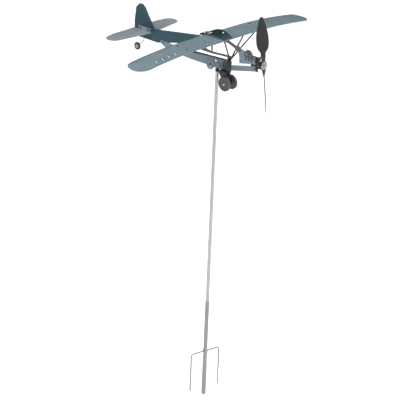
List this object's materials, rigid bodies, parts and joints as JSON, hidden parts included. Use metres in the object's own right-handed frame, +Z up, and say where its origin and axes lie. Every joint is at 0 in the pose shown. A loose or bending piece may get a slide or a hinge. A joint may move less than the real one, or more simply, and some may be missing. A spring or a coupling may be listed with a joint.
{
  "type": "aeroplane wind spinner on a garden stake",
  "caption": "Sheet-metal aeroplane weathervane with a spinning propeller and wheels, turning on a push-in garden stake with a ground fork.",
  "frame": {"origin": "on the stake's axis at ground level, under the bar of the ground fork", "axes": "+Z up along the stake, +X towards the aeroplane's nose, +Y to its port wing"},
  "size_m": [0.3258, 0.45, 0.7681],
  "materials": {
    "satin_steel": "satin zinc",
    "chrome": "bright plated",
    "black_plastic": "moulded",
    "teal_paint": "satin paint",
    "teal_dark": "gloss paint",
    "slate_paint": "satin paint",
    "frame_grey": "satin paint",
    "wing_grey": "satin paint",
    "tail_grey": "satin paint",
    "black_paint": "semi-gloss paint",
    "engine_grey": "satin paint",
    "wheel_grey": "satin paint",
    "rivet_steel": "plain"
  },
  "bodies": {
    "stake": {"stake_spear": "satin_steel", "stake_middle": "chrome", "stake_upper": "chrome", "ground_fork": "satin_steel", "pole_bush": "black_plastic", "pivot_pin": "chrome", "pivot_nut": "chrome"},
    "airframe": {"tail_plate": "teal_paint", "cabin_frame": "frame_grey", "roof_tab": "teal_paint", "belly_strip": "slate_paint", "cowl_plate": "slate_paint", "nose_strip": "slate_paint", "strut_plate": "black_paint", "nose_bracket": "black_paint", "nose_bearing": "chrome", "engine_plate": "engine_grey", "pivot_bracket": "slate_paint", "wing": "wing_grey", "roof_cover": "teal_dark", "tailplane_port": "tail_grey", "tailplane_starboard": "tail_grey", "wing_strut_port": "black_paint", "wing_strut_starboard": "black_paint", "gear_bracket": "teal_dark", "wheel_axle": "chrome", "axle_caps": "chrome", "tail_wheel_wire": "chrome", "tail_axle_cap": "chrome", "lap_rivets": "rivet_steel", "tail_wire_rivet": "rivet_steel", "strut_rivets": "black_paint", "roof_screws": "chrome", "roof_nuts": "chrome", "strut_bolt": "black_paint", "strut_nut": "chrome", "pivot_screws": "rivet_steel", "pivot_screw_nuts": "chrome", "tailplane_screws": "rivet_steel", "tailplane_nuts": "chrome"},
    "propeller_set": {"propeller": "black_paint", "hub_boss": "black_plastic", "hub_ring": "black_plastic", "hub_washer": "chrome", "hub_nut": "chrome", "propeller_shaft": "chrome"},
    "wheel_port": {"main_wheel_port": "wheel_grey"},
    "wheel_starboard": {"main_wheel_starboard": "wheel_grey"},
    "tail_wheel": {"tail_tyre": "black_plastic", "tail_hub": "tail_grey"}
  },
  "joints": [
    {"name": "yaw", "type": "hinge", "parent": "stake", "child": "airframe", "pos_m": [0, 0, 0.56], "axis": [0, 0, 1], "continuous": true},
    {"name": "propeller_spin", "type": "hinge", "parent": "airframe", "child": "propeller_set", "pos_m": [0.0966, 0, 0.5883], "axis": [1, 0, 0], "continuous": true},
    {"name": "wheel_port_spin", "type": "hinge", "parent": "airframe", "child": "wheel_port", "pos_m": [0.027, 0.00915, 0.5327], "axis": [0, 1, 0], "continuous": true},
    {"name": "wheel_starboard_spin", "type": "hinge", "parent": "airframe", "child": "wheel_starboard", "pos_m": [0.027, -0.00915, 0.5327], "axis": [0, 1, 0], "continuous": true},
    {"name": "tail_wheel_spin", "type": "hinge", "parent": "airframe", "child": "tail_wheel", "pos_m": [-0.1984, 0, 0.544], "axis": [0, 1, 0], "continuous": true}
  ]
}
